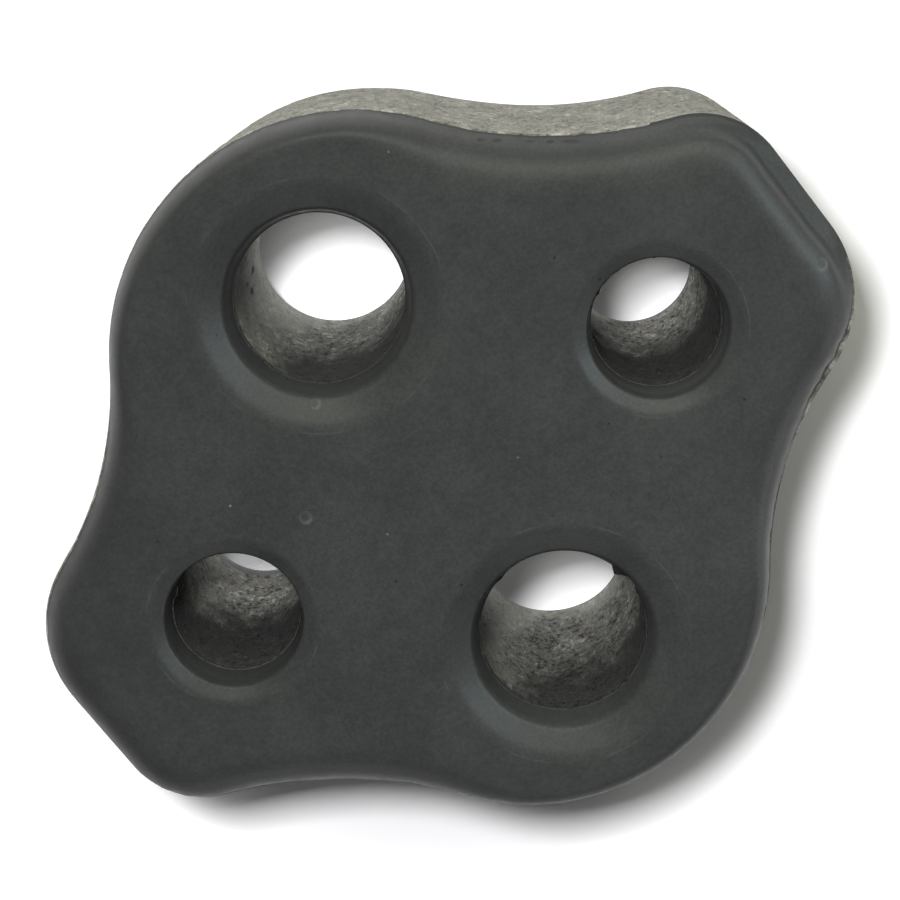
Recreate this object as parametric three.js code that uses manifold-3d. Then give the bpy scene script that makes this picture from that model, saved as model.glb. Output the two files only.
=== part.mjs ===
// Exhaust hanger rubber: one moulded block with four bores, two large and two small.
// Millimetres, lying flat on its back face, with the small bores along X and the large ones along Y.
import * as THREE from 'three';
import { mergeVertices } from 'three/addons/utils/BufferGeometryUtils.js';
import Module from 'manifold-3d';

const wasm = await Module();
wasm.setup();

// Thickness and edges
const thickness = 27;            // front face to back face
const edgeHeight = 3;            // face down to the parting line
const edgeInset = 3.5;           // parting line in to where the face is flat
const wallDraft = 0.4;           // how far the side wall leans in on its way to the back

// Bores
const largeBoreDiameter = 11;
const largeBoreSpacing = 27;
const largeMouthDiameter = 16.8;
const smallBoreDiameter = 8.4;
const smallBoreSpacing = 33;
const smallMouthDiameter = 11.4;

// Outline at the front parting line. One half is given; the other is the same, turned 180 degrees.
const lobeX = -0.3;              // round lobe about a large bore
const lobeY = 8.8;
const lobeRadius = 15.9;
const upperCornerX = 22.8;       // the two rounded corners of a flat-ended lobe
const upperCornerY = 4.5;
const upperCornerRadius = 5.8;
const lowerCornerX = 20.9;
const lowerCornerY = -1.6;
const lowerCornerRadius = 8;
const upperValleyRadius = 29.5;  // hollows between the lobes
const lowerValleyRadius = 23.5;

// Smoothness
const edgeSteps = 5;
const edgeSweep = 78;            // degrees the rounded edge turns through before the parting line
const cornerSteps = 12;
const valleySteps = 14;
const lobeSteps = 30;
const boreSides = 56;

// A rounded edge as [share of the inset still left, share of the height down], face to parting line
function edgeCurve() {
  const sweep = THREE.MathUtils.degToRad(edgeSweep);
  return Array.from({ length: edgeSteps + 1 }, (_, i) => {
    const turn = (sweep * i) / edgeSteps;
    return [1 - Math.sin(turn) / Math.sin(sweep), (1 - Math.cos(turn)) / (1 - Math.cos(sweep))];
  });
}

// The hollow of a given radius that touches circles a and b from outside the outline
function hollowBetween(a, b, radius) {
  const dx = b.x - a.x;
  const dy = b.y - a.y;
  const gap = Math.hypot(dx, dy);
  const fromA = a.r + radius;
  const fromB = b.r + radius;
  const along = (fromA * fromA - fromB * fromB + gap * gap) / (2 * gap);
  const aside = Math.sqrt(fromA * fromA - along * along);
  return { x: a.x + (dx * along + dy * aside) / gap, y: a.y + (dy * along - dx * aside) / gap, r: radius };
}

// Direction, seen from their centres, in which the straight line touching circles a and b lies
function flatDirection(a, b) {
  const way = Math.atan2(b.y - a.y, b.x - a.x);
  return way - Math.acos((a.r - b.r) / Math.hypot(b.x - a.x, b.y - a.y));
}

function arcPoints(circle, from, to, turn, steps) {
  let sweep = (to - from) % (2 * Math.PI);
  if (turn > 0 && sweep < 0) sweep += 2 * Math.PI;
  if (turn < 0 && sweep > 0) sweep -= 2 * Math.PI;
  return Array.from({ length: steps }, (_, i) => {
    const angle = from + (sweep * i) / (steps - 1);
    return new THREE.Vector2(circle.x + circle.r * Math.cos(angle), circle.y + circle.r * Math.sin(angle));
  });
}

const toward = (a, b) => Math.atan2(b.y - a.y, b.x - a.x);

// The whole outline, drawn in by the given inset
function outline(inset) {
  const lower = { x: lowerCornerX, y: lowerCornerY, r: lowerCornerRadius - inset };
  const upper = { x: upperCornerX, y: upperCornerY, r: upperCornerRadius - inset };
  const lobe = { x: lobeX, y: lobeY, r: lobeRadius - inset };
  const farCorner = { x: -lower.x, y: -lower.y, r: lower.r };
  const farLobe = { x: -lobe.x, y: -lobe.y, r: lobe.r };
  const before = hollowBetween(farLobe, lower, lowerValleyRadius + inset);
  const first = hollowBetween(upper, lobe, upperValleyRadius + inset);
  const second = hollowBetween(lobe, farCorner, lowerValleyRadius + inset);
  const flat = flatDirection(lower, upper);
  const half = [
    ...arcPoints(lower, toward(lower, before), flat, 1, cornerSteps),
    ...arcPoints(upper, flat, toward(upper, first), 1, cornerSteps),
    ...arcPoints(first, toward(first, upper), toward(first, lobe), -1, valleySteps).slice(1),
    ...arcPoints(lobe, toward(lobe, first), toward(lobe, second), 1, lobeSteps).slice(1),
    ...arcPoints(second, toward(second, lobe), toward(second, farCorner), -1, valleySteps).slice(1, -1),
  ];
  return [...half, ...half.map((p) => new THREE.Vector2(-p.x, -p.y))];
}

// Skin over a stack of outlines, closed at both ends
function loftGeometry(levels) {
  const points = [];
  const faces = [];
  const rings = levels.map(([inset, z]) => {
    const start = points.length / 3;
    const ring = outline(inset);
    for (const p of ring) points.push(p.x, p.y, z);
    return { start, ring };
  });
  const count = rings[0].ring.length;
  for (let level = 0; level < rings.length - 1; level++) {
    const low = rings[level].start;
    const high = rings[level + 1].start;
    for (let i = 0; i < count; i++) {
      const next = (i + 1) % count;
      faces.push(low + i, low + next, high + next, low + i, high + next, high + i);
    }
  }
  const last = rings[rings.length - 1];
  for (const [a, b, c] of THREE.ShapeUtils.triangulateShape(last.ring, [])) {
    faces.push(last.start + a, last.start + b, last.start + c);
  }
  for (const [a, b, c] of THREE.ShapeUtils.triangulateShape(rings[0].ring, [])) {
    faces.push(a, c, b);
  }
  const geometry = new THREE.BufferGeometry();
  geometry.setAttribute('position', new THREE.Float32BufferAttribute(points, 3));
  geometry.setIndex(faces);
  return geometry;
}

// What a bore takes away: a straight hole opening into a smooth rounded mouth at each face
function boreGeometry(diameter, mouthDiameter, x, y) {
  const radius = diameter / 2;
  const flare = (mouthDiameter - diameter) / 2;
  const mouth = edgeCurve().map(([left, down]) => [radius + flare * left, down * edgeHeight]);
  const profile = [
    new THREE.Vector2(0, -1),
    new THREE.Vector2(radius + flare, -1),
    ...mouth.map(([r, depth]) => new THREE.Vector2(r, depth)),
    ...mouth.map(([r, depth]) => new THREE.Vector2(r, thickness - depth)).reverse(),
    new THREE.Vector2(radius + flare, thickness + 1),
    new THREE.Vector2(0, thickness + 1),
  ];
  const geometry = new THREE.LatheGeometry(profile, boreSides);
  geometry.rotateX(Math.PI / 2);
  geometry.translate(x, y, 0);
  return geometry;
}

function toSolid(geometry) {
  geometry.deleteAttribute('normal');
  geometry.deleteAttribute('uv');
  const merged = mergeVertices(geometry, 1e-5);
  return new wasm.Manifold(new wasm.Mesh({
    numProp: 3,
    vertProperties: new Float32Array(merged.attributes.position.array),
    triVerts: new Uint32Array(merged.index.array),
  }));
}

function toGeometry(solid) {
  const mesh = solid.getMesh();
  const geometry = new THREE.BufferGeometry();
  geometry.setAttribute('position', new THREE.BufferAttribute(new Float32Array(mesh.vertProperties), 3));
  geometry.setIndex(new THREE.BufferAttribute(new Uint32Array(mesh.triVerts), 1));
  geometry.computeVertexNormals();
  return geometry;
}

// The edge never takes more than most of the tightest corner
const inset = Math.min(edgeInset, 0.8 * (Math.min(upperCornerRadius, lowerCornerRadius) - wallDraft));
const frontEdge = edgeCurve().map(([left, down]) => [inset * left, thickness - down * edgeHeight]);
const backEdge = edgeCurve().map(([left, down]) => [wallDraft + inset * left, down * edgeHeight]);
let body = toSolid(loftGeometry([...backEdge, ...frontEdge.reverse()]));

const bores = [
  [largeBoreDiameter, largeMouthDiameter, 0, largeBoreSpacing / 2],
  [largeBoreDiameter, largeMouthDiameter, 0, -largeBoreSpacing / 2],
  [smallBoreDiameter, smallMouthDiameter, smallBoreSpacing / 2, 0],
  [smallBoreDiameter, smallMouthDiameter, -smallBoreSpacing / 2, 0],
];
for (const [diameter, mouthDiameter, x, y] of bores) {
  body = body.subtract(toSolid(boreGeometry(diameter, mouthDiameter, x, y)));
}

const rubber = new THREE.MeshStandardMaterial({ name: 'black_rubber', color: 0x333535, roughness: 0.8 });
const hanger = new THREE.Mesh(toGeometry(body), rubber);
hanger.name = 'hanger_rubber';

const group = new THREE.Group();
group.name = 'exhaust_hanger_rubber';
group.add(hanger);
export default group;
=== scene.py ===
import math

import bmesh
import bpy
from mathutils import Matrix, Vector, noise


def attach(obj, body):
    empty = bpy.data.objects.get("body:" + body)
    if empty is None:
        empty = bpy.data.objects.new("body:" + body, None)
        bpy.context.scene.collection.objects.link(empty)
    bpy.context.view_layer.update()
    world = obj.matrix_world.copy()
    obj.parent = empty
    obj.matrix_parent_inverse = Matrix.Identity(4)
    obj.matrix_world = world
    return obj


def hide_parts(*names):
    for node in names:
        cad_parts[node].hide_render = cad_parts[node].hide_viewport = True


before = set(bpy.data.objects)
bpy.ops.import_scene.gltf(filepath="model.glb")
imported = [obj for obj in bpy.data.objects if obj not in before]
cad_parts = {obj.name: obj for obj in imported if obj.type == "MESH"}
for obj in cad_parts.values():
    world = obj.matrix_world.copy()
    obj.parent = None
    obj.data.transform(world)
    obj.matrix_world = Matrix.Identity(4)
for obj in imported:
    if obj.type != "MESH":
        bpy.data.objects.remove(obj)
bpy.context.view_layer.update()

mm = 0.001

# the block, its bores and its outline at the front parting line, in millimetres
block = {
    "thickness": 27.0,
    "edgeHeight": 3.0,       # face down to the parting line
    "edgeInset": 3.5,        # parting line in to the flat of the face
    "edgeSweep": 78.0,       # degrees
    "edgeSteps": 11,
    "mouthSlope": 33.0,      # degrees, of the dished part of a mouth
    "mouthSteps": 17,
    "mouthRoll": 0.35,       # share of a mouth's width that rolls over from the face
    "neck": 0.19,            # share of it that drops steeply into the bore
    "neckPower": 1.25,
    "draft": 0.4,            # lean of the side wall
    "spacing": 0.34,         # mesh size along the walls
    "support": 0.15,         # flat rim kept round the face's edges
    "lip": 0.10,             # width of the flash line round the parting line
    "lipRise": 0.05,
    "ridge": [(0.06, 0.06), (0.05, 0.18), (0.0, 0.34)],    # height and depth, inside each bore
    "lobe": (-0.3, 8.8, 15.9),
    "upperCorner": (22.8, 4.5, 5.8),
    "lowerCorner": (20.9, -1.6, 8.0),
    "upperValley": 29.5,
    "lowerValley": 23.5,
    # bore radius, mouth radius, sides, and the two places it is drilled
    "bores": [
        (5.5, 8.2, 128, ((0.0, 13.5), (0.0, -13.5))),
        (4.2, 5.7, 88, ((16.5, 0.0), (-16.5, 0.0))),
    ],
}
boreSpots = [(x, y, radius, mouth) for radius, mouth, _, spots in block["bores"] for x, y in spots]


def startEdit(piece):
    bpy.ops.object.select_all(action="DESELECT")
    piece.select_set(True)
    bpy.context.view_layer.objects.active = piece
    bpy.ops.object.mode_set(mode="EDIT")


def stopEdit():
    bpy.ops.object.mode_set(mode="OBJECT")


def pick(piece, kind, test):
    # kind is verts, edges or faces; test gets the element
    bpy.ops.mesh.select_mode(type={"verts": "VERT", "edges": "EDGE", "faces": "FACE"}[kind])
    bpy.ops.mesh.select_all(action="DESELECT")
    cage = bmesh.from_edit_mesh(piece.data)
    hits = 0
    for element in getattr(cage, kind):
        if test(element):
            element.select_set(True)
            hits += 1
    cage.select_flush_mode()
    bmesh.update_edit_mesh(piece.data)
    return hits


def heightIs(element, height):
    return all(abs(v.co.z - height * mm) < 2e-5 for v in element.verts)


def edgeCurve(steps):
    # shares of inset left and of height down, from the face to the parting line
    sweep = math.radians(block["edgeSweep"])
    turns = [sweep * i / steps for i in range(steps + 1)]
    reach, fall = math.sin(sweep), 1 - math.cos(sweep)
    return [(1 - math.sin(t) / reach, (1 - math.cos(t)) / fall) for t in turns]


def hollowBetween(a, b, radius):
    dx, dy = b[0] - a[0], b[1] - a[1]
    gap = math.hypot(dx, dy)
    fromA, fromB = a[2] + radius, b[2] + radius
    along = (fromA ** 2 - fromB ** 2 + gap ** 2) / (2 * gap)
    aside = math.sqrt(fromA ** 2 - along ** 2)
    return (a[0] + (dx * along + dy * aside) / gap, a[1] + (dy * along - dx * aside) / gap, radius)


def toward(a, b):
    return math.atan2(b[1] - a[1], b[0] - a[0])


def traceOutline():
    # one half is traced with spins from a single point, then copied a half turn round
    lower, upper, lobe = block["lowerCorner"], block["upperCorner"], block["lobe"]
    farCorner = (-lower[0], -lower[1], lower[2])
    farLobe = (-lobe[0], -lobe[1], lobe[2])
    before = hollowBetween(farLobe, lower, block["lowerValley"])
    first = hollowBetween(upper, lobe, block["upperValley"])
    second = hollowBetween(lobe, farCorner, block["lowerValley"])
    flat = toward(lower, upper) - math.acos((lower[2] - upper[2]) / math.dist(lower[:2], upper[:2]))
    crease = block["thickness"] - block["edgeHeight"]
    arcs = [
        (lower, toward(lower, before), flat, 1),
        (upper, flat, toward(upper, first), 1),
        (first, toward(first, upper), toward(first, lobe), -1),
        (lobe, toward(lobe, first), toward(lobe, second), 1),
        (second, toward(second, lobe), toward(second, farCorner), -1),
    ]
    startAngle = arcs[0][1]
    bpy.ops.object.select_all(action="DESELECT")
    bpy.ops.mesh.primitive_circle_add(vertices=3, radius=mm, location=(0, 0, 0))
    outline = bpy.context.active_object
    outline.name = "hangerRubber"
    startEdit(outline)
    bpy.ops.mesh.select_all(action="SELECT")
    bpy.ops.mesh.merge(type="CENTER")
    bpy.ops.transform.translate(value=(
        (lower[0] + lower[2] * math.cos(startAngle)) * mm,
        (lower[1] + lower[2] * math.sin(startAngle)) * mm,
        crease * mm,
    ))
    for circle, start, end, turn in arcs:
        sweep = (end - start) % (2 * math.pi)
        if turn < 0:
            sweep -= 2 * math.pi
        steps = max(4, round(circle[2] * abs(sweep) / block["spacing"]))
        centre = (circle[0] * mm, circle[1] * mm, 0)
        bpy.ops.mesh.spin(steps=steps, angle=-sweep, center=centre, axis=(0, 0, 1))
        if circle is lower:    # the flat end, in short steps
            reach = Vector((
                upper[0] - lower[0] + (upper[2] - lower[2]) * math.cos(flat),
                upper[1] - lower[1] + (upper[2] - lower[2]) * math.sin(flat),
                0,
            )) * mm
            count = max(2, round(reach.length / mm / block["spacing"]))
            for _ in range(count):
                bpy.ops.mesh.extrude_region_move(TRANSFORM_OT_translate={"value": reach / count})
    bpy.ops.mesh.select_all(action="SELECT")
    bpy.ops.mesh.duplicate()
    bpy.ops.transform.rotate(value=math.pi, orient_axis="Z", center_override=(0, 0, 0))
    bpy.ops.mesh.select_all(action="SELECT")
    bpy.ops.mesh.remove_doubles(threshold=0.02 * mm)
    return outline


def mouthCurve(flare):
    # the same for a bore's mouth: it rolls over into a shallow dish, then drops down a steep neck
    height, neck, roll = block["edgeHeight"], block["neck"], block["mouthRoll"]
    dish = math.tan(math.radians(block["mouthSlope"])) * flare
    rest = height - dish * (1 - roll / 2)
    curve = []
    for i in range(block["mouthSteps"] + 1):
        along = i / block["mouthSteps"]
        sloped = along ** 2 / (2 * roll) if along < roll else along - roll / 2
        dropped = max(0.0, (along - 1 + neck) / neck) ** block["neckPower"]
        curve.append((1 - along, (dish * sloped + rest * dropped) / height))
    return curve


def rimRows():
    # (inset, drop) from the parting line's end of the edge to the flat of the face
    height, inset = block["edgeHeight"], block["edgeInset"]
    lip, rise = block["lip"], block["lipRise"]
    rows = [(0, height)]
    for left, down in edgeCurve(block["edgeSteps"])[::-1]:
        rows.append((lip + left * (inset - lip), max(down * (height - rise), 0.002)))
    return rows + [(inset + block["support"], 0)]


def growRims(piece):
    # the rounded edges: the outline is filled, then inset and raised in small steps, front and back
    height = block["edgeHeight"]
    crease = block["thickness"] - height
    rows = rimRows()
    bpy.ops.mesh.select_all(action="SELECT")
    down = (0, 0, (height - crease) * mm)
    bpy.ops.mesh.extrude_region_move(TRANSFORM_OT_translate={"value": down})
    cage = bmesh.from_edit_mesh(piece.data)
    reach = [max(v.co[axis] for v in cage.verts) for axis in (0, 1)]
    lean = [1 - block["draft"] * mm / side for side in reach]
    bpy.ops.transform.resize(value=(*lean, 1), center_override=(0, 0, 0))
    for level, up in ((crease, 1), (height, -1)):
        pick(piece, "edges", lambda e: heightIs(e, level))
        bpy.ops.mesh.edge_face_add()
        bpy.ops.mesh.select_mode(type="FACE")
        cage = bmesh.from_edit_mesh(piece.data)
        cap = next(f for f in cage.faces if f.select)
        if cap.normal.z * up < 0:
            bpy.ops.mesh.flip_normals()
        for (insetA, dropA), (insetB, dropB) in zip(rows, rows[1:]):
            bpy.ops.mesh.inset(thickness=(insetB - insetA) * mm, depth=(dropA - dropB) * mm)
        bpy.ops.mesh.delete(type="ONLY_FACE")


def ease(value, start, end):
    share = min(max((value - start) / (end - start), 0), 1)
    return share * share * (3 - 2 * share)


trim = {
    "lobeNarrow": 0.56,      # how much narrower the rounded edge is round the big bores
    "lobeSpan": (22, 60, 145, 185),    # degrees round the lobe where that starts, holds and ends
    "lobeLean": 0.35,        # how far the walls round the big bores lean in toward the back
    "ledge": 1.15,           # width and height of the ledge left by the mould at the far flat end
    "ledgeRise": 0.5,
    "ledgeFrom": 0.75,       # the row of the rounded edge that becomes its corner, as an inset
    "ledgeStep": 0.08,
    "ledgeSpan": (-6.2, -0.5, 4.0, 10.5),
    # trimmed flash down the flank: its middle, its reach and its width
    "flank": ((23.4, -8.4), 6.5, 0.24),
    "flankTail": ((13.0, -17.5), 12.0, 0.06),
    "waver": 0.06,
    "reach": 1.6,            # how far in from the parting line the edge wavers
}


def lobeShare(x, y):
    # how far a point belongs to one of the two big lobes, with the lobe's centre
    side = 1 if y > 0 else -1
    cx, cy = block["lobe"][0] * side, block["lobe"][1] * side
    turn = math.degrees(math.atan2((y - cy) * side, (x - cx) * side))
    a, b, c, d = trim["lobeSpan"]
    return ease(turn, a, b) * (1 - ease(turn, c, d)), cx, cy


def flashWidth(x, y):
    width = trim["waver"] * noise.noise(Vector((x, y, 0)) * 0.9)
    width += 0.5 * trim["waver"] * noise.noise(Vector((x, y, 5)) * 2.6)
    for centre, reach, extra in (trim["flank"], trim["flankTail"]):
        near = 1 - ease(math.dist((x, y), centre), 0, reach)
        if near:
            width += near * extra * (1.0 + 0.8 * noise.noise(Vector((x, y, 9)) * 1.7))
    return width


def trimRims(piece):
    # each row of the rounded edge is known by its height, so it can be widened or narrowed in place
    top = block["thickness"]
    rows = rimRows()
    lower, upper = block["lowerCorner"], block["upperCorner"]
    flat = toward(lower, upper) - math.acos((lower[2] - upper[2]) / math.dist(lower[:2], upper[:2]))
    across = Vector((math.cos(flat), math.sin(flat), 0))
    ledgeRow = min(range(len(rows)), key=lambda i: abs(rows[i][0] - trim["ledgeFrom"]))
    ledgeInset = rows[ledgeRow][0]
    a, b, c, d = trim["ledgeSpan"]
    gap, full = trim["ledgeStep"], block["edgeInset"]
    for vertex in piece.data.vertices:
        x, y, z = vertex.co / mm
        drop = min(z, top - z)
        share, cx, cy = lobeShare(x, y)
        away = Vector((x - cx, y - cy, 0)).normalized() * share
        lean = away * trim["lobeLean"] * ease(z, top - block["edgeHeight"], 0)
        x, y = x - lean.x, y - lean.y
        if drop > block["edgeHeight"] - 0.01:
            vertex.co = Vector((x, y, z)) * mm
            continue
        row = min(range(len(rows)), key=lambda i: abs(rows[i][1] - drop))
        inset = rows[row][0]
        x, y = x + away.x * inset * trim["lobeNarrow"], y + away.y * inset * trim["lobeNarrow"]
        if z > top / 2 and inset < trim["reach"]:
            inward = Vector((-vertex.normal.x, -vertex.normal.y, 0)).normalized()
            step = inward * flashWidth(x, y) * (1 - inset / trim["reach"])
            x, y = x + step.x, y + step.y
        held = ease(y, a, b) * (1 - ease(y, c, d)) if x > 18 and z > top / 2 else 0
        if held:
            wide = ledgeInset + (trim["ledge"] - ledgeInset) * held
            if row <= ledgeRow:
                new = inset * wide / ledgeInset
                low = top - block["edgeHeight"] + block["lipRise"]
                z += (low + trim["ledgeRise"] * new / wide - z) * held
            else:
                span = (inset - ledgeInset) / (full - ledgeInset)
                new = wide + gap + (full - wide - gap) * span if span < 1 else inset
                new = inset + (new - inset) * held
            x, y = x - across.x * (new - inset), y - across.y * (new - inset)
        vertex.co = Vector((x, y, z)) * mm


def ladderWall(piece, low, high):
    # rungs across the tall wall faces, so that they can carry the coarse surface
    tall = (high - low) * mm
    pick(piece, "edges", lambda e: abs(abs(e.verts[0].co.z - e.verts[1].co.z) - tall) < 2e-5)
    cuts = round((high - low) / block["spacing"]) - 1
    bpy.ops.mesh.subdivide_edgering(number_cuts=cuts, interpolation="LINEAR")


def drillBore(radius, mouth, sides):
    # rings from the front mouth down the straight wall to the back mouth
    top, height = block["thickness"], block["edgeHeight"]
    flare = mouth - radius
    front = [(mouth + block["support"], top)]
    front += [(radius + flare * left, top - down * height) for left, down in mouthCurve(flare)]
    # a low ridge of flash just inside the parting line
    front += [(radius - high, top - height - down) for high, down in block["ridge"]]
    ridgeEnd = height + block["ridge"][-1][1]
    rings = front + [(r, top - z) for r, z in reversed(front)]
    bpy.ops.object.select_all(action="DESELECT")
    bpy.ops.mesh.primitive_circle_add(
        vertices=sides, radius=rings[0][0] * mm, location=(0, 0, top * mm),
    )
    bore = bpy.context.active_object
    bpy.ops.object.transform_apply(location=True)
    startEdit(bore)
    bpy.ops.mesh.select_all(action="SELECT")
    for (ra, za), (rb, zb) in zip(rings, rings[1:]):
        bpy.ops.mesh.extrude_region_move(TRANSFORM_OT_translate={"value": (0, 0, (zb - za) * mm)})
        bpy.ops.transform.resize(value=(rb / ra, rb / ra, 1), center_override=(0, 0, 0))
    ladderWall(bore, ridgeEnd, top - ridgeEnd)
    stopEdit()
    return bore


def placeBores():
    # each size is modelled once, copied, and both are slid to their places
    bores = []
    for radius, mouth, sides, spots in block["bores"]:
        pair = [drillBore(radius, mouth, sides)]
        bpy.ops.object.duplicate(linked=False)
        pair.append(bpy.context.active_object)
        for bore, (x, y) in zip(pair, spots):
            startEdit(bore)
            bpy.ops.mesh.select_all(action="SELECT")
            bpy.ops.transform.translate(value=(x * mm, y * mm, 0))
            stopEdit()
        bores += pair
    return bores


# torn and swollen spots round the front rims of the bores: x, y and radius of the bore,
# then direction in degrees, width in millimetres, and how far the rim moves inward
tears = [
    (0.0, -13.5, 5.5, 14.0, 0.55, 0.40),
    (0.0, -13.5, 5.5, 3.5, 0.75, -0.55),
    (0.0, -13.5, 5.5, 104.0, 0.50, 0.10),
    (0.0, -13.5, 5.5, 148.0, 0.70, 0.16),
    (0.0, 13.5, 5.5, -172.0, 0.90, 0.10),
    (16.5, 0.0, 4.2, 118.0, 0.40, 0.12),
    (16.5, 0.0, 4.2, 107.0, 0.45, 0.09),
    (16.5, 0.0, 4.2, 92.0, 0.60, 0.12),
    (16.5, 0.0, 4.2, 77.0, 0.40, 0.08),
    (16.5, 0.0, 4.2, 58.0, 0.35, 0.12),
    (-16.5, 0.0, 4.2, 84.0, 0.50, -0.35),
    (-16.5, 0.0, 4.2, 60.0, 0.45, 0.20),
    (-16.5, 0.0, 4.2, 130.0, 0.50, 0.18),
]


def tearRims(piece):
    crease = block["thickness"] - block["edgeHeight"]
    for vertex in piece.data.vertices:
        x, y, z = vertex.co / mm
        if abs(z - crease) > 0.9:
            continue
        for cx, cy, radius, turn, width, push in tears:
            away = Vector((x - cx, y - cy))
            if away.length > radius + 0.6:
                continue
            off = (math.degrees(math.atan2(away.y, away.x)) - turn + 180) % 360 - 180
            aside = abs(radius * math.radians(off))
            near = 1 - ease(aside, 0.1 * width, width)
            near *= 1 - ease(abs(z - crease + 0.1), 0.1, 0.7)
            step = away.normalized() * push * near
            x, y = x - step.x, y - step.y
        vertex.co = Vector((x, y, z)) * mm


def weighGroup(piece, name, weight):
    # a vertex group filled from a function of each point, in millimetres
    group = piece.vertex_groups.new(name=name)
    for vertex in piece.data.vertices:
        share = weight(vertex.co / mm)
        if share > 0.001:
            group.add([vertex.index], min(share, 1.0), "REPLACE")
    return group


def roughen(piece, name, group, size, stretch, strength):
    # cloud noise pushed out along the normals; an empty gives it its scale and its flattening
    clouds = bpy.data.textures.new(name, "CLOUDS")
    clouds.noise_scale, clouds.noise_depth = 1.0, 2
    bpy.ops.object.empty_add(location=(0, 0, 0))
    gauge = bpy.context.active_object
    gauge.scale = (size * mm, size * mm, size * stretch * mm)
    bpy.context.view_layer.update()
    push = piece.modifiers.new(name, "DISPLACE")
    push.texture, push.texture_coords, push.texture_coords_object = clouds, "OBJECT", gauge
    push.vertex_group, push.strength, push.mid_level = group, strength * mm, 0.5
    bpy.ops.object.select_all(action="DESELECT")
    piece.select_set(True)
    bpy.context.view_layer.objects.active = piece
    bpy.ops.object.modifier_apply(modifier=name)
    bpy.data.objects.remove(gauge)


def isBore(face):
    x, y, z = face.calc_center_median() / mm
    inside = any(math.dist((x, y), row[:2]) < row[2] + 0.5 for row in boreSpots)
    return inside and block["edgeHeight"] < z < block["thickness"] - block["edgeHeight"]


def isWall(face):
    x, y, z = face.calc_center_median() / mm
    if any(math.dist((x, y), row[:2]) < row[2] + 0.5 for row in boreSpots):
        return False
    _, start, _, end = trim["ledgeSpan"]
    lip = 0 if x > 18 and start - 3 < y < end else 0.06
    return block["edgeHeight"] - 0.06 < z < block["thickness"] - block["edgeHeight"] + lip


wallSkin = {
    "fade": 0.5,             # distance from the parting lines over which the roughness sets in
    "stretch": 0.7,
    "layers": [("lumps", 1.8, 0.07), ("grain", 0.6, 0.15)],    # size of the noise, and its push
}


def makeHanger():
    top, height = block["thickness"], block["edgeHeight"]
    piece = traceOutline()
    growRims(piece)
    ladderWall(piece, height, top - height)
    stopEdit()
    trimRims(piece)
    bores = placeBores()
    for bore in bores:
        tearRims(bore)
    bpy.ops.object.select_all(action="DESELECT")
    for part in (*bores, piece):
        part.select_set(True)
    bpy.context.view_layer.objects.active = piece
    bpy.ops.object.join()
    startEdit(piece)
    for level in (top, 0):    # the flat faces, filled round the mouths
        pick(piece, "edges", lambda e: e.is_boundary and heightIs(e, level))
        bpy.ops.mesh.fill(use_beauty=True)
    bpy.ops.mesh.select_all(action="SELECT")
    bpy.ops.mesh.remove_doubles(threshold=0.005 * mm)
    bpy.ops.mesh.normals_make_consistent(inside=False)
    for level in (height, top - height):    # the parting lines stay crisp
        pick(piece, "edges", lambda e: heightIs(e, level))
        bpy.ops.mesh.mark_sharp()
    for material in (faceRubber, wallRubber, boreRubber):
        piece.data.materials.append(material)
    pick(piece, "faces", isWall)
    piece.active_material_index = 1
    bpy.ops.object.material_slot_assign()
    pick(piece, "faces", isBore)
    piece.active_material_index = 2
    bpy.ops.object.material_slot_assign()
    bpy.ops.mesh.select_all(action="SELECT")
    bpy.ops.mesh.faces_shade_smooth()
    stopEdit()
    weighGroup(piece, "walls", lambda p: min(p.z - height, top - height - p.z) / wallSkin["fade"])
    for name, size, strength in wallSkin["layers"]:
        roughen(piece, name, "walls", size, wallSkin["stretch"], strength)
    print("block:", sum(len(f.vertices) - 2 for f in piece.data.polygons), "triangles")
    return piece


def newMaterial(name):
    material = bpy.data.materials.new(name)
    material.use_nodes = True
    tree = material.node_tree
    return material, tree, tree.nodes["Principled BSDF"]


def addNode(tree, kind, values=None, **options):
    node = tree.nodes.new(kind)
    for name, value in options.items():
        setattr(node, name, value)
    for name, value in (values or {}).items():
        if isinstance(value, bpy.types.NodeSocket):    # name is a label or a place in the list
            tree.links.new(value, node.inputs[name])
        else:
            node.inputs[name].default_value = value
    return node


def addRamp(tree, source, stops):
    ramp = addNode(tree, "ShaderNodeValToRGB", {"Fac": source})
    while len(ramp.color_ramp.elements) < len(stops):
        ramp.color_ramp.elements.new(0.5)
    for element, (place, colour) in zip(ramp.color_ramp.elements, stops):
        element.position, element.color = place, (*colour, 1)
    return ramp


def addMix(tree, share, a, b, blend="MIX"):
    mix = addNode(tree, "ShaderNodeMix", data_type="RGBA", blend_type=blend)
    for socket, value in ((mix.inputs[0], share), (mix.inputs[6], a), (mix.inputs[7], b)):
        if isinstance(value, bpy.types.NodeSocket):
            tree.links.new(value, socket)
        else:
            socket.default_value = (*value, 1) if isinstance(value, tuple) else value
    return mix.outputs[2]


def newGroup(name, sockets):
    # sockets: (name, "INPUT" or "OUTPUT", socket type)
    group = bpy.data.node_groups.new(name, "ShaderNodeTree")
    for label, side, kind in sockets:
        group.interface.new_socket(name=label, in_out=side, socket_type=kind)
    return group, group.nodes.new("NodeGroupInput"), group.nodes.new("NodeGroupOutput")


def useGroup(tree, group, values):
    return addNode(tree, "ShaderNodeGroup", values, node_tree=group)


def step(tree, source, low, high, floorValue=0.0, topValue=1.0):
    return addNode(tree, "ShaderNodeMapRange", {
        "Value": source, "From Min": low, "From Max": high,
        "To Min": floorValue, "To Max": topValue,
    }, interpolation_type="SMOOTHSTEP").outputs[0]


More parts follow.
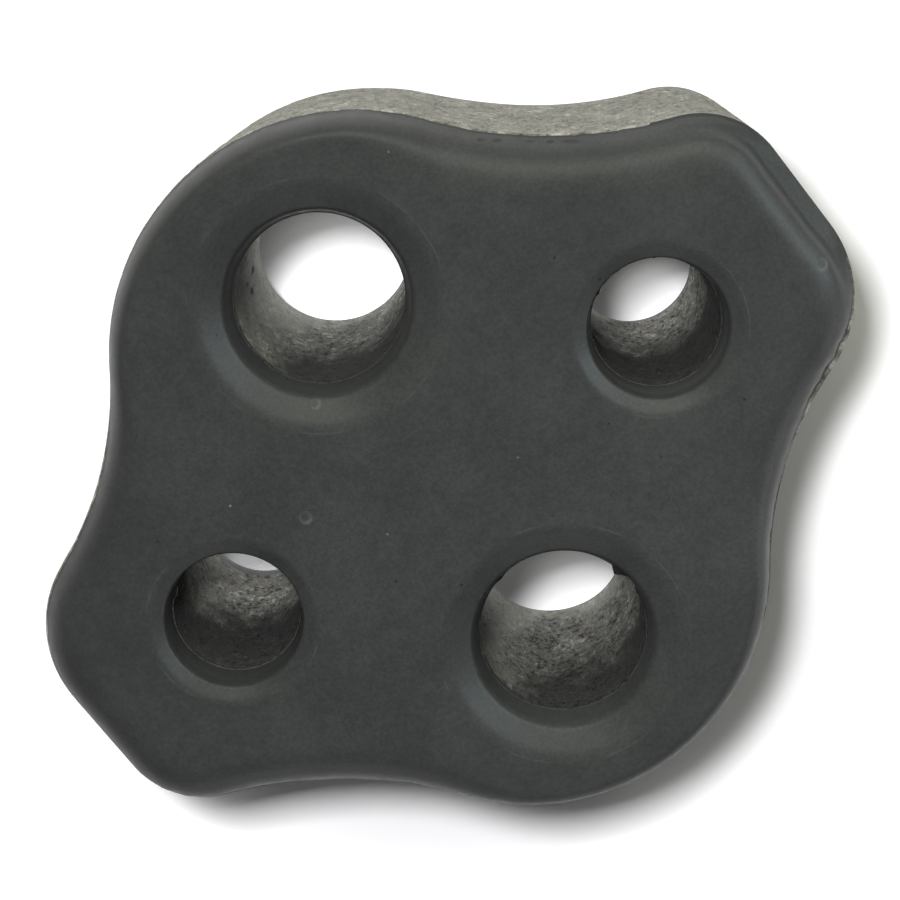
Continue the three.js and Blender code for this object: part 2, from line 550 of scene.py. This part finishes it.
def maths(tree, operation, a, b=0.0):
    node = addNode(tree, "ShaderNodeMath", operation=operation)
    for socket, value in zip(node.inputs, (a, b)):
        if isinstance(value, bpy.types.NodeSocket):
            tree.links.new(value, socket)
        else:
            socket.default_value = value
    return node.outputs[0]


def noiseOf(tree, vector, scale, detail=3.0, rough=0.55):
    return addNode(tree, "ShaderNodeTexNoise", {
        "Vector": vector, "Scale": scale, "Detail": detail, "Roughness": rough,
    }).outputs["Fac"]


def inMillimetres(tree, scale=(1000, 1000, 1000)):
    place = addNode(tree, "ShaderNodeTexCoord").outputs["Object"]
    return addNode(tree, "ShaderNodeMapping", {"Vector": place, "Scale": scale}).outputs[0]


def spotOn(tree, vector, centre, radii, turn=0.0):
    # 1 inside an ellipsoid that eases to 0 at its edge, in millimetres
    local = addNode(tree, "ShaderNodeMapping", {
        "Vector": vector, "Location": centre, "Rotation": (0, 0, turn), "Scale": radii,
    }, vector_type="TEXTURE").outputs[0]
    out = addNode(tree, "ShaderNodeVectorMath", {0: local}, operation="LENGTH").outputs["Value"]
    return step(tree, out, 1.0, 0.4)


# dust and pits: cells to the millimetre, size, and the share of the cells that stay empty
speckKinds = [("Pale", 0.42, 0.055, 0.80), ("Pits", 0.65, 0.075, 0.72)]


def makeSpecks():
    # scattered pale dust, small pits and grain, for every rubber surface
    group, entry, leave = newGroup("specks", [
        ("Vector", "INPUT", "NodeSocketVector"), ("Pale", "OUTPUT", "NodeSocketFloat"),
        ("Pits", "OUTPUT", "NodeSocketFloat"), ("Grain", "OUTPUT", "NodeSocketFloat"),
    ])
    place = entry.outputs["Vector"]
    for name, cells, size, share in speckKinds:
        spots = addNode(group, "ShaderNodeTexVoronoi", {
            "Vector": place, "Scale": cells, "Randomness": 1.0,
        }).outputs
        near = step(group, spots["Distance"], size, size * 0.45)
        draw = addNode(group, "ShaderNodeSeparateColor", {"Color": spots["Color"]}).outputs["Red"]
        picked = step(group, draw, share, share + 0.15)
        group.links.new(maths(group, "MULTIPLY", near, picked), leave.inputs[name])
    group.links.new(noiseOf(group, place, 4.5, 4.0, 0.65), leave.inputs["Grain"])
    return group


coatTexture = {
    "noises": [(0.55, 3.0), (2.3, 4.0, 0.7), (6.0, 3.0, 0.7)],    # broad, grit and fine
    "gritShare": 0.62,
    "broadShare": 0.35,
    # dark marks: scale of their noise, the values at which they start and are full
    "marks": [(1.25, 0.355, 0.295), (3.0, 0.395, 0.335)],
}


def makeCoat():
    # the coarse, dusty skin of the sides and bores: short dark dashes in a pale coat
    group, entry, leave = newGroup("coarseSkin", [
        ("Vector", "INPUT", "NodeSocketVector"), ("Skin", "OUTPUT", "NodeSocketFloat"),
        ("Dashes", "OUTPUT", "NodeSocketFloat"), ("Height", "OUTPUT", "NodeSocketFloat"),
    ])
    place = entry.outputs["Vector"]
    broad, grit, fine = (noiseOf(group, place, *values) for values in coatTexture["noises"])
    share = coatTexture["gritShare"]
    grit, fine = maths(group, "MULTIPLY", grit, share), maths(group, "MULTIPLY", fine, 1 - share)
    skin = maths(group, "ADD", grit, fine)
    broad = maths(group, "SUBTRACT", broad, 0.5)
    broad = maths(group, "MULTIPLY", broad, coatTexture["broadShare"])
    group.links.new(maths(group, "ADD", skin, broad), leave.inputs["Skin"])
    other = {"Vector": place, "Location": (7, 3, 11)}
    other = addNode(group, "ShaderNodeMapping", other).outputs[0]
    dashes, flecks = (
        step(group, noiseOf(group, other, scale, 2.0), start, full)
        for scale, start, full in coatTexture["marks"]
    )
    group.links.new(maths(group, "MAXIMUM", dashes, flecks), leave.inputs["Dashes"])
    group.links.new(skin, leave.inputs["Height"])
    return group


specks, coarseSkin = makeSpecks(), makeCoat()

faceFinish = {
    "colour": (0.0284, 0.0301, 0.0297),
    "light": (0.0349, 0.0368, 0.0361),
    "dust": (0.16, 0.165, 0.155),
    "pit": (0.008, 0.008, 0.008),
    "rough": (0.56, 0.68),
    "specular": 0.09,
    "sheen": 0.42,           # a thin smooth skin from the mould, over the matt rubber
    "wornSheen": 0.16,       # what is left of it along the parting line
    "wornSpan": (24.4, 25.4),       # the heights between which that changes
    "sheenRough": 0.38,
    "paintedShadeDrift": (0.306, -0.952, 0),    # painted light and shade: the way the face is painted slowly paler toward one side and darker toward the other
    "paintedShadeDriftReach": 25.0,
    "paintedShadeDriftTone": (0.87, 1.11),
    "mottleScales": (0.16, 1.1),    # of its clouds, and of the blotches in them
    "mottleShare": 0.65,
    "mottleSpan": (0.36, 0.64),
    "grainTone": (0.86, 1.14),
    # faint scuffs, long and thin: the way they run, and their scale along each axis
    "scuffs": [(0.6, (0.12, 3.2, 1)), (-0.9, (0.10, 4.0, 1)), (1.9, (0.14, 3.6, 1))],
    "scuffSpan": (0.70, 0.78),
    "scuff": 0.035,
    # worn rings round the mouths: how far inside them, half width and soft edge, gaps
    "ringInset": 0.12,
    "ringWidth": (0.09, 0.02),
    "ringSpan": (0.48, 0.66),
    "ring": 0.08,
    "specks": 0.7,           # how far the dust and the pits show
    "bump": 0.35,
    "bumpDepth": 0.05,
    # the marks below stay on the front: their height, and how far down they reach
    "front": (26.0, 14.0),
    # blisters and dents: x, y, radius, height (dented below 0, swollen above it)
    "blisters": [(-3.83, 8.42, 0.32, 1.0), (-8.55, 2.94, 0.42, -1.0), (27.0, -2.5, 0.40, -0.8)],
    "rim": 0.30,             # how pale the rim of a blister is
    "core": 0.85,            # how far its middle is dark again
    "swell": 6.0,
    # dark nicks along the front parting line: x, y, half length
    "nicks": [
        (14.10, 15.90, 0.55), (14.95, 15.22, 0.50), (16.57, 14.02, 0.36),
        (17.54, 13.29, 0.36), (18.60, 12.55, 0.75),
    ],
    "nickDepth": 0.13,
    "nickTurn": -0.616,      # the way the parting line runs there, in radians
}


def makeFaceRubber():
    finish = faceFinish
    material, tree, shader = newMaterial("faceRubber")
    place = inMillimetres(tree)
    dots = useGroup(tree, specks, {"Vector": place})
    cloudScale, blotchScale = finish["mottleScales"]
    cloud = noiseOf(tree, place, cloudScale, 5.0, 0.6)
    blotch = noiseOf(tree, place, blotchScale, 4.0, 0.6)
    share = finish["mottleShare"]
    mottle = maths(tree, "MULTIPLY", cloud, share)
    mottle = maths(tree, "ADD", mottle, maths(tree, "MULTIPLY", blotch, 1 - share))
    mottle = step(tree, mottle, *finish["mottleSpan"])
    shade = addMix(tree, mottle, finish["colour"], finish["light"])
    scuffs = None
    for turn, scale in finish["scuffs"]:
        run = addNode(tree, "ShaderNodeMapping", {
            "Vector": place, "Rotation": (0, 0, turn), "Scale": scale,
        }).outputs[0]
        line = step(tree, noiseOf(tree, run, 1.0, 2.0, 0.5), *finish["scuffSpan"])
        scuffs = line if scuffs is None else maths(tree, "MAXIMUM", scuffs, line)
    flat = addNode(tree, "ShaderNodeVectorMath", {
        0: place, 1: (1, 1, 0),
    }, operation="MULTIPLY").outputs[0]
    rings = None
    for x, y, _, mouth in boreSpots:
        away = addNode(tree, "ShaderNodeVectorMath", {
            0: flat, 1: (x, y, 0),
        }, operation="DISTANCE").outputs["Value"]
        off = maths(tree, "SUBTRACT", away, mouth - finish["ringInset"])
        ring = step(tree, maths(tree, "ABSOLUTE", off), *finish["ringWidth"])
        rings = ring if rings is None else maths(tree, "MAXIMUM", rings, ring)
    worn = step(tree, noiseOf(tree, place, 0.30, 2.0), *finish["ringSpan"])
    rings = maths(tree, "MULTIPLY", rings, worn)
    marks = maths(tree, "MULTIPLY", dots.outputs["Pale"], finish["specks"])
    for mask, strength in ((scuffs, finish["scuff"]), (rings, finish["ring"])):
        marks = maths(tree, "MAXIMUM", marks, maths(tree, "MULTIPLY", mask, strength))
    shade = addMix(tree, marks, shade, finish["dust"])
    pits = maths(tree, "MULTIPLY", dots.outputs["Pits"], finish["specks"])
    shade = addMix(tree, pits, shade, finish["pit"])
    front, deep = finish["front"]
    for x, y, length in finish["nicks"]:
        radii = (length, finish["nickDepth"], deep)
        nick = spotOn(tree, place, (x, y, front), radii, finish["nickTurn"])
        nick = maths(tree, "MULTIPLY", nick, step(tree, blotch, 0.30, 0.55, 0.2, 0.9))
        shade = addMix(tree, nick, shade, finish["pit"])
    for x, y, radius, _ in finish["blisters"]:
        rim = spotOn(tree, place, (x, y, front), (radius * 1.3, radius * 1.3, deep))
        core = spotOn(tree, place, (x - 0.05, y + 0.05, front), (radius, radius, deep))
        shade = addMix(tree, maths(tree, "MULTIPLY", rim, finish["rim"]), shade, finish["dust"])
        shade = addMix(tree, maths(tree, "MULTIPLY", core, finish["core"]), shade, finish["colour"])
    grain = step(tree, dots.outputs["Grain"], 0.3, 0.7, *finish["grainTone"])
    # painted light and shade: the grain tone is multiplied by a slow gradient across the face
    along = addNode(tree, "ShaderNodeVectorMath", {
        0: place, 1: finish["paintedShadeDrift"],
    }, operation="DOT_PRODUCT").outputs["Value"]
    reach = finish["paintedShadeDriftReach"]
    grain = maths(tree, "MULTIPLY", grain, step(tree, along, -reach, reach, *finish["paintedShadeDriftTone"]))
    tone = {"Red": grain, "Green": grain, "Blue": grain}
    tone = addNode(tree, "ShaderNodeCombineColor", tone).outputs[0]
    shade = addMix(tree, 1.0, shade, tone, "MULTIPLY")
    tree.links.new(shade, shader.inputs["Base Color"])
    low, high = finish["rough"]
    tree.links.new(step(tree, blotch, 0.35, 0.65, low, high), shader.inputs["Roughness"])
    shader.inputs["Specular IOR Level"].default_value = finish["specular"]
    down = addNode(tree, "ShaderNodeSeparateXYZ", {"Vector": place}).outputs["Z"]
    sheen = step(tree, down, *finish["wornSpan"], finish["wornSheen"], finish["sheen"])
    tree.links.new(sheen, shader.inputs["Coat Weight"])
    shader.inputs["Coat Roughness"].default_value = finish["sheenRough"]
    height = maths(tree, "MULTIPLY", dots.outputs["Grain"], 0.4)
    height = maths(tree, "SUBTRACT", height, dots.outputs["Pits"])
    height = maths(tree, "ADD", height, maths(tree, "MULTIPLY", dots.outputs["Pale"], 0.8))
    for x, y, radius, swell in finish["blisters"]:
        swollen = spotOn(tree, place, (x, y, front), (radius, radius, deep))
        swollen = maths(tree, "MULTIPLY", swollen, swell * finish["swell"])
        height = maths(tree, "ADD", height, swollen)
    bump = {"Height": height, "Strength": finish["bump"], "Distance": finish["bumpDepth"] * mm}
    bump = addNode(tree, "ShaderNodeBump", bump).outputs[0]
    tree.links.new(bump, shader.inputs["Normal"])
    return material


wallFinish = {
    "deep": (0.042, 0.042, 0.038),
    "coat": (0.122, 0.121, 0.105),
    "pale": (0.27, 0.27, 0.235),
    "frayed": (0.42, 0.42, 0.38),
    "frayedSpan": (23.4, 24.8),     # heights, before they are made ragged
    "frayedShare": 0.65,
    "ragged": 7.0,
    "stretch": (850, 850, 400),     # scale of the skin: smaller along the height
    "dashes": 0.65,
    "dust": 0.14,            # powder that shows up along the surface
    "dustTint": (1.0, 0.98, 0.86),
    "dustRough": 0.45,
    "rough": 0.85,
    "specular": 0.15,
    "bump": 0.9,
    "bumpDepth": 0.3,
}
boreFinish = {
    "deep": (0.035, 0.035, 0.033),
    "coat": (0.170, 0.168, 0.150),
    "pale": (0.42, 0.42, 0.38),
    # painted shade: a dark collar painted down from each mouth, where little light reaches into the
    # bore
    "paintedShadeCollar": (0.030, 0.032, 0.031),
    "paintedShadeSpan": (11.0, 20.5),     # heights, before they are made ragged
    "paintedShadeMouthSpan": (22.4, 23.4),       # painted shade: from here up to the mouth it is painted dark all round
    "paintedShadeShare": 0.93,
    "paintedLightFootSpan": (9.0, 2.0),         # painted light: toward the back it is painted paler
    "paintedLightFootShare": 0.45,
    "ragged": 16.0,
    "paintedLightSide": (0.816, -0.578, 0),   # painted light: where a wall faces this way, the paleness reaches further up
    "paintedLightSideSpan": (0.1, 0.9),
    "paintedLightRise": 9.0,
    "paintedLightShare": 0.3,      # and is painted paler
    "paintedLightSmallLess": 0.7,        # share of that rise that the small bores don't have
    # painted shade and light in the small bores: the dark collar starts further down, and the walls
    # are painted paler
    "paintedShadeSmallDrop": 3.8,
    "paintedLightSmallBores": (1.45, 1.45, 1.45),
    # pits in the upper large bore: x, y, z and their reach
    "pits": [(-4.9, 16.0, 8.8, 0.34), (-5.24, 15.18, 12.2, 0.30), (-4.97, 15.84, 13.4, 0.18)],
    "pitStretch": 4.5,
    "pit": (0.004, 0.004, 0.004),
    "stretch": (1000, 1000, 600),
    "dashes": 0.85,
    "dust": 0.0,
    "dustTint": (1.0, 1.0, 1.0),
    "dustRough": 0.45,
    "rough": 0.85,
    "specular": 0.15,
    "bump": 0.9,
    "bumpDepth": 0.3,
}


def makeWallRubber(name, finish):
    inBore = finish is boreFinish
    material, tree, shader = newMaterial(name)
    place = inMillimetres(tree, finish["stretch"])
    skin = useGroup(tree, coarseSkin, {"Vector": place})
    dots = useGroup(tree, specks, {"Vector": place})
    shade = addRamp(tree, skin.outputs["Skin"], [
        (0.38, finish["deep"]), (0.475, finish["coat"]),
        (0.54, finish["coat"]), (0.63, finish["pale"]),
    ]).outputs["Color"]
    dashes = maths(tree, "MULTIPLY", skin.outputs["Dashes"], finish["dashes"])
    shade = addMix(tree, dashes, shade, finish["deep"])
    shade = addMix(tree, dots.outputs["Pits"], shade, finish["deep"])
    if inBore:
        # painted shade and light: toward the mouth the bore is painted dark and smoother, and it is
        # painted paler toward the back and on the walls facing one way
        where = addNode(tree, "ShaderNodeSeparateXYZ", {"Vector": inMillimetres(tree)}).outputs
        down, small = where["Z"], step(tree, maths(tree, "ABSOLUTE", where["Y"]), 7.0, 6.0)
        ragged = maths(tree, "SUBTRACT", noiseOf(tree, place, 0.45, 5.0, 0.7), 0.5)
        ragged = maths(tree, "MULTIPLY", ragged, finish["ragged"])
        facing = addNode(tree, "ShaderNodeVectorMath", {
            0: addNode(tree, "ShaderNodeTexCoord").outputs["Normal"], 1: finish["paintedLightSide"],
        }, operation="DOT_PRODUCT").outputs["Value"]
        rise = step(tree, facing, *finish["paintedLightSideSpan"], 0.0, finish["paintedLightRise"])
        less = maths(tree, "MULTIPLY", small, finish["paintedLightSmallLess"])
        rise = maths(tree, "MULTIPLY", rise, maths(tree, "SUBTRACT", 1.0, less))
        ragged = maths(tree, "SUBTRACT", ragged, rise)
        # in the small bores the painted shade starts further down
        ragged = maths(tree, "ADD", ragged, maths(tree, "MULTIPLY", small, finish["paintedShadeSmallDrop"]))
        level = maths(tree, "ADD", down, ragged)
        # painted light: paler on the walls facing one way
        paintedLightSide = step(tree, facing, 0.2, 0.9, 0.0, finish["paintedLightShare"])
        shade = addMix(tree, paintedLightSide, shade, finish["pale"])
        # painted light: paler toward the back
        paintedLightFoot = step(tree, level, *finish["paintedLightFootSpan"], 0.0, finish["paintedLightFootShare"])
        shade = addMix(tree, paintedLightFoot, shade, finish["pale"])
        # painted light: the small bores are painted paler
        shade = addMix(tree, small, shade, finish["paintedLightSmallBores"], "MULTIPLY")
        # painted shade: dark toward the mouth
        paintedShadeCollar = step(tree, level, *finish["paintedShadeSpan"])
        paintedShadeCollar = maths(tree, "MAXIMUM", paintedShadeCollar, step(tree, down, *finish["paintedShadeMouthSpan"]))
        paintedShadeCollar = maths(tree, "MULTIPLY", paintedShadeCollar, finish["paintedShadeShare"])
        shade = addMix(tree, paintedShadeCollar, shade, finish["paintedShadeCollar"])
        for x, y, z, reach in finish["pits"]:
            radii = (reach, reach, reach * finish["pitStretch"])
            pit = spotOn(tree, inMillimetres(tree), (x, y, z), radii)
            shade = addMix(tree, pit, shade, finish["pit"])
    else:
        # frayed and paler along the front parting line
        down = addNode(tree, "ShaderNodeSeparateXYZ", {"Vector": inMillimetres(tree)}).outputs["Z"]
        frayed = maths(tree, "SUBTRACT", noiseOf(tree, place, 0.9, 4.0, 0.7), 0.5)
        frayed = maths(tree, "ADD", down, maths(tree, "MULTIPLY", frayed, finish["ragged"]))
        torn = step(tree, noiseOf(tree, place, 0.4, 2.0), 0.42, 0.58)
        torn = maths(tree, "MULTIPLY", torn, finish["frayedShare"])
        torn = maths(tree, "MULTIPLY", torn, step(tree, frayed, *finish["frayedSpan"]))
        shade = addMix(tree, torn, shade, finish["frayed"])
    tree.links.new(shade, shader.inputs["Base Color"])
    shader.inputs["Roughness"].default_value = finish["rough"]
    shader.inputs["Specular IOR Level"].default_value = finish["specular"]
    shader.inputs["Sheen Weight"].default_value = finish["dust"]
    shader.inputs["Sheen Roughness"].default_value = finish["dustRough"]
    shader.inputs["Sheen Tint"].default_value = (*finish["dustTint"], 1)
    dents = maths(tree, "MULTIPLY", skin.outputs["Dashes"], 0.5)
    height = maths(tree, "SUBTRACT", skin.outputs["Height"], dents)
    bump = {"Height": height, "Strength": finish["bump"], "Distance": finish["bumpDepth"] * mm}
    bump = addNode(tree, "ShaderNodeBump", bump).outputs[0]
    tree.links.new(bump, shader.inputs["Normal"])
    return material


faceRubber = makeFaceRubber()
wallRubber = makeWallRubber("wallRubber", wallFinish)
boreRubber = makeWallRubber("boreRubber", boreFinish)

hanger = makeHanger()
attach(hanger, "root")
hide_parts("hanger_rubber")


stage = {
    "floorColour": (0.97, 0.965, 0.985),
    "floorDrop": 0.1,        # millimetres below the block, so that the two don't touch
    "floorGlow": 0.9,        # seen by the camera only, and only away from the block
    "glowSpan": (33.5, 50.0),
    "boreGlow": 0.04,        # painted light: the same glow, under the bores
    "boreSpan": (21.0, 25.0),
    # painted light: the same glow, as pools where the openings show the floor: x, y, reach,
    # strength
    "paintedLightPools": [
        (-1.3, 9.9, 8.0, 0.24), (-1.3, -19.6, 5.5, 0.20),
        (16.2, -4.3, 4.3, 0.40), (-19.5, -3.7, 4.0, 0.30),
    ],
    "tableGlow": 0.16,       # what the pale table sends back up
    "boreTable": 1.1,        # the same into the bores
    "world": 0.05,
}
bpy.ops.object.select_all(action="DESELECT")
bpy.ops.mesh.primitive_plane_add(size=1.4, location=(0, 0, -stage["floorDrop"] * mm))
floor = bpy.context.active_object
floor.name = "floor"
paleFloor, tree, shader = newMaterial("paleFloor")
shader.inputs["Base Color"].default_value = (*stage["floorColour"], 1)
shader.inputs["Roughness"].default_value = 0.9
shader.inputs["Specular IOR Level"].default_value = 0.0
path = addNode(tree, "ShaderNodeLightPath")
spot = inMillimetres(tree)
away = addNode(tree, "ShaderNodeVectorMath", {0: spot}, operation="LENGTH").outputs["Value"]
near, far = stage["glowSpan"]
inner, outer = stage["boreSpan"]
seenGlow = maths(
    tree, "ADD", step(tree, away, near, far, 0.0, stage["floorGlow"]),
    step(tree, away, inner, outer, stage["boreGlow"], 0.0),
)
# painted light: pools of glow where the openings show the floor
for x, y, reach, strength in stage["paintedLightPools"]:
    lit = maths(tree, "MULTIPLY", spotOn(tree, spot, (x, y, 0), (reach, reach, 100)), strength)
    seenGlow = maths(tree, "ADD", seenGlow, lit)
glow = addNode(tree, "ShaderNodeMapRange", {
    "Value": path.outputs["Is Camera Ray"],
    "To Min": step(tree, away, inner, outer, stage["boreTable"], stage["tableGlow"]),
    "To Max": seenGlow,
}).outputs[0]
shader.inputs["Emission Color"].default_value = (1, 1, 1, 1)
tree.links.new(glow, shader.inputs["Emission Strength"])
# from underneath the floor is clear, so that the back of the block can be looked at
clear = addNode(tree, "ShaderNodeBsdfTransparent").outputs[0]
behind = addNode(tree, "ShaderNodeNewGeometry").outputs["Backfacing"]
seen = addNode(tree, "ShaderNodeMixShader", {0: behind, 1: shader.outputs[0], 2: clear}).outputs[0]
tree.links.new(seen, tree.nodes["Material Output"].inputs["Surface"])
floor.data.materials.append(paleFloor)

world = bpy.data.worlds.new("studio")
bpy.context.scene.world = world
world.use_nodes = True
tree = world.node_tree
path = addNode(tree, "ShaderNodeLightPath")
strength = addNode(tree, "ShaderNodeMapRange", {
    "Value": path.outputs["Is Camera Ray"], "To Min": stage["world"], "To Max": 1.0,
}).outputs[0]
tree.nodes["Background"].inputs["Color"].default_value = (1, 1, 1, 1)
tree.links.new(strength, tree.nodes["Background"].inputs["Strength"])

pictureRight, pictureUp = Vector((0.8158, -0.5784, 0)), Vector((0.5784, 0.8158, 0))
# name, place (picture right, picture up, height above the floor), size in metres, watts, colour
lamps = [
    ("key", (-0.015, 0.053, 0.180), (0.017, 0.017), 0.385, (1.0, 1.0, 1.0)),
    ("upperSoft", (0.0, 0.29, 0.22), (0.30, 0.16), 0.50, (0.98, 1.0, 0.82)),
    ("coolSide", (0.31, 0.10, 0.19), (0.16, 0.16), 0.40, (0.76, 0.95, 1.0)),
    ("cornerSoft", (0.22, 0.21, 0.20), (0.15, 0.15), 0.24, (0.93, 1.0, 0.97)),
    ("rightSoft", (0.36, -0.12, 0.06), (0.20, 0.08), 0.15, (1.0, 1.0, 1.0)),
    ("lowSoft", (0.05, -0.38, 0.08), (0.30, 0.10), 0.12, (1.0, 1.0, 1.0)),
]
for name, place, size, power, colour in lamps:
    bpy.ops.object.light_add(type="AREA")
    lamp = bpy.context.active_object
    lamp.name = name
    lamp.data.shape = "RECTANGLE"
    lamp.data.size, lamp.data.size_y = size
    lamp.data.energy, lamp.data.color = power, colour
    # as if polarised: the key leaves no glare, and two of the soft panels leave only their glare
    lamp.visible_glossy = name != "key"
    lamp.visible_diffuse = name not in ("coolSide", "cornerSoft")
    lamp.location = pictureRight * place[0] + pictureUp * place[1] + Vector((0, 0, place[2]))
    aim = lamp.location - Vector((0, 0, 0.0135))
    lamp.rotation_euler = aim.to_track_quat("Z", "Y").to_euler()

bpy.ops.object.camera_add(
    location=(0.022469, 0.030763, 0.172105),
    rotation=[math.radians(a) for a in (-14.0087, 0.04, -35.3379)],
)
camera = bpy.context.active_object
camera.data.lens, camera.data.sensor_width = 95.2245, 36
camera.data.clip_start, camera.data.clip_end = 0.01, 20
bpy.context.scene.camera = camera
bpy.context.scene.view_settings.view_transform = "Standard"
